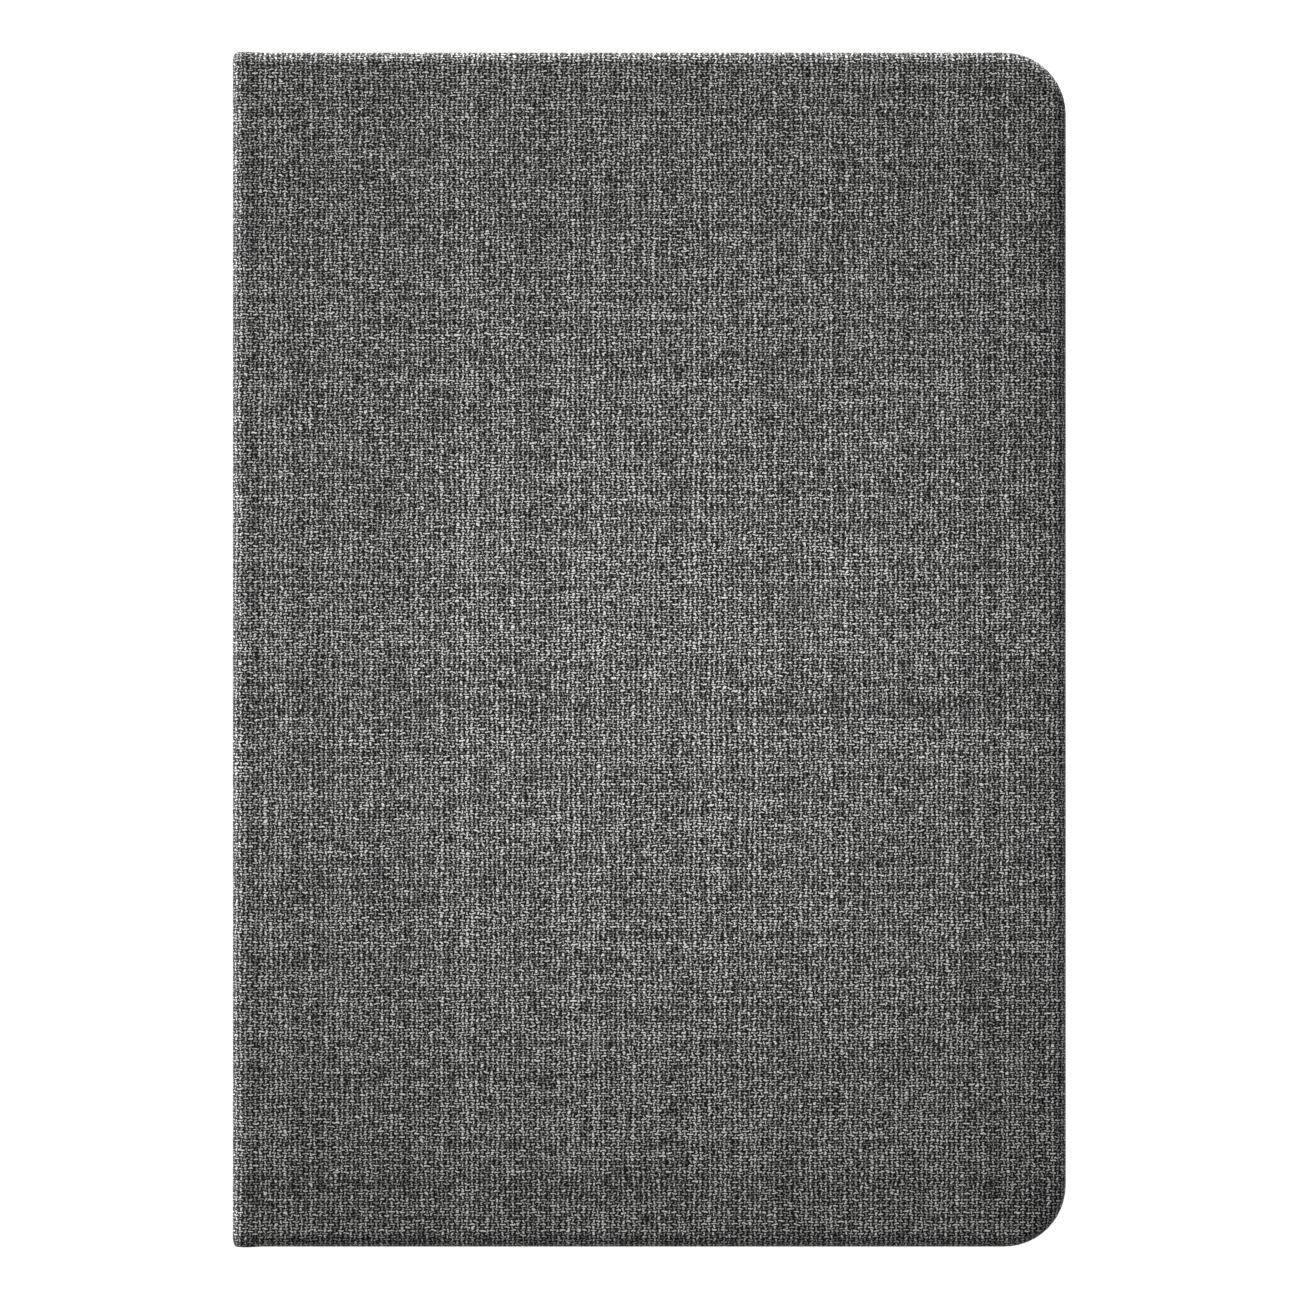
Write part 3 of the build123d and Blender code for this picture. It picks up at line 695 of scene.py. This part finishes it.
def key_labels():
    """(node, label, x, y) of each printed key, in metres."""
    labels = []
    for x0, x1, keys in KEY_ROWS:
        x0, x1 = x0 * MM, x1 * MM
        unit = UNIT * ROW_UNITS / sum(width for _, width, _ in keys)
        y = UNIT * ROW_UNITS / 2
        for node, width, label in keys:
            middle = y - width * unit / 2
            y -= width * unit
            if node == ARROWS:
                quarter = (x1 - x0 - KEY_GAP) / 4
                labels.append(("arrow_up_key", "^", x0 + quarter, middle))
                labels.append(("arrow_down_key", "v", x1 - quarter, middle))
            elif label:
                labels.append((node, label, (x0 + x1) / 2, middle))
    return labels


def label_mesh(label):
    """A flat printed mark, upright in its own XY plane: a word, a character or an arrow head."""
    turns = {"<": 90, ">": 270, "^": 0, "v": 180}
    if label in turns:
        bm = bmesh.new()
        size = 1.3 * MM
        bm.faces.new([bm.verts.new((size * x, size * y, 0)) for x, y in ((-1, -0.6), (1, -0.6), (0, 0.9))])
        bmesh.ops.rotate(bm, verts=bm.verts, matrix=Matrix.Rotation(math.radians(turns[label]), 3, "Z"))
        mesh = bpy.data.meshes.new("mark")
        bm.to_mesh(mesh)
        bm.free()
        return mesh
    curve = bpy.data.curves.new("mark", "FONT")
    curve.body = label
    curve.size = LETTER_SIZE if len(label) == 1 else WORD_SIZE
    curve.align_x, curve.align_y = "CENTER", "CENTER"
    holder = bpy.data.objects.new("mark", curve)
    bpy.context.scene.collection.objects.link(holder)
    bpy.context.view_layer.update()
    mesh = bpy.data.meshes.new_from_object(holder.evaluated_get(bpy.context.evaluated_depsgraph_get()))
    bpy.data.objects.remove(holder)
    return mesh


def make_legends():
    """One mesh of printed marks for each key node. The keys face down, and are read from the free edge."""
    face_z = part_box("space_key")[0][2] - 0.012 * MM
    marks = {}
    for node, label, x, y in key_labels():
        bm = marks.setdefault(node, bmesh.new())
        old = set(bm.verts)
        bm.from_mesh(label_mesh(label))
        turn = Matrix(((0, -1, 0, x), (-1, 0, 0, y), (0, 0, -1, face_z), (0, 0, 0, 1)))
        bmesh.ops.transform(bm, matrix=turn, verts=[v for v in bm.verts if v not in old])
    for node, bm in marks.items():
        extruded = bmesh.ops.extrude_face_region(bm, geom=bm.faces[:])
        moved = [g for g in extruded["geom"] if isinstance(g, bmesh.types.BMVert)]
        bmesh.ops.translate(bm, verts=moved, vec=(0, 0, PRINT_THICK))
        bmesh.ops.recalc_face_normals(bm, faces=bm.faces)
        mesh = bpy.data.meshes.new(node + "_legends")
        bm.to_mesh(mesh)
        bm.free()
        mesh.materials.append(LEGEND)
        obj = bpy.data.objects.new(node + "_legends", mesh)
        bpy.context.scene.collection.objects.link(obj)
        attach(obj, node)


# ---- studio ---------------------------------------------------------------------------------------
def make_floor():
    """A pale floor that is seen from above only, so the back can be looked at from below."""
    bpy.ops.mesh.primitive_plane_add(size=6, location=(0, 0, -0.05 * MM))
    floor = bpy.context.object
    floor.name = "floor"
    s = Shader("pale_floor")
    s.set(Base_Color=(0.5, 0.5, 0.5, 1), Roughness=0.9, Emission_Color=(1, 1, 1, 1), Emission_Strength=1.0)
    clear = s.node("ShaderNodeBsdfTransparent").outputs[0]
    back = s.node("ShaderNodeNewGeometry").outputs["Backfacing"]
    mixed = s.node("ShaderNodeMixShader", {0: back, 1: s.bsdf.outputs[0], 2: clear})
    s.put(s.tree.nodes["Material Output"].inputs["Surface"], mixed.outputs[0])
    floor.data.materials.append(s.material)


def area_light(name, place, size, watts, target=(0, 0, 0)):
    light = bpy.data.lights.new(name, "AREA")
    light.shape, light.size, light.energy = "DISK", size, watts
    obj = bpy.data.objects.new(name, light)
    obj.location = place
    obj.rotation_euler = (Vector(target) - Vector(place)).to_track_quat("-Z", "Y").to_euler()
    obj.visible_camera = False
    bpy.context.scene.collection.objects.link(obj)


def make_studio():
    scene = bpy.context.scene
    world = bpy.data.worlds.new("studio")
    world.use_nodes = True
    world.node_tree.nodes["Background"].inputs["Color"].default_value = (1, 1, 1, 1)
    world.node_tree.nodes["Background"].inputs["Strength"].default_value = 0.06
    scene.world = world
    area_light("top_edge_light", (-1.0, 2.6, 0.30), 0.5, 205.0, (0, 0, 0.02))
    area_light("spine_edge_light", (-2.4, 0.5, 0.26), 0.5, 36.0, (0, 0, 0.02))
    area_light("overhead", (0.0, -0.015, 0.20), 0.12, 0.32, (0, -0.015, 0.02))
    make_floor()
    scene.view_settings.view_transform = "Standard"


def make_camera():
    """Straight above the cover, with the long side upright, as a product is shot flat."""
    view_side = 283.3 * MM
    lens, sensor = 150.0, 36.0
    camera = bpy.data.cameras.new("camera")
    camera.lens, camera.sensor_width = lens, sensor
    camera.clip_start, camera.clip_end = 0.01, 20
    obj = bpy.data.objects.new("camera", camera)
    obj.location = (0.2 * MM, -0.1 * MM, FRONT_HIGH + view_side * lens / sensor)
    bpy.context.scene.collection.objects.link(obj)
    bpy.context.scene.camera = obj


give_materials()
make_front_skin()
make_anchor_skin()
make_back_skin()
make_front_liner()
make_gusset(
    "cover_fold_gusset",
    ((-88.7, 12.0), (-88.7, 16.0), (-88.4, 17.7), (-86.0, 17.7), (-82.0, 17.7)),
    "spine",
    "keyboard_cover",
    (-88.7 * MM, 0, 16.4 * MM),
    (-86.4 * MM, 0, 17.7 * MM),
)
make_gusset(
    "spine_fold_gusset",
    ((-88.72, 11.5), (-88.72, 5.0), (-88.62, 2.25), (-87.4, 2.2), (-82.5, 2.2)),
    "tablet_back",
    "spine",
    (-88.0 * MM, 0, 2.3 * MM),
    (-88.72 * MM, 0, 4.6 * MM),
)
make_legends()
make_studio()
make_camera()
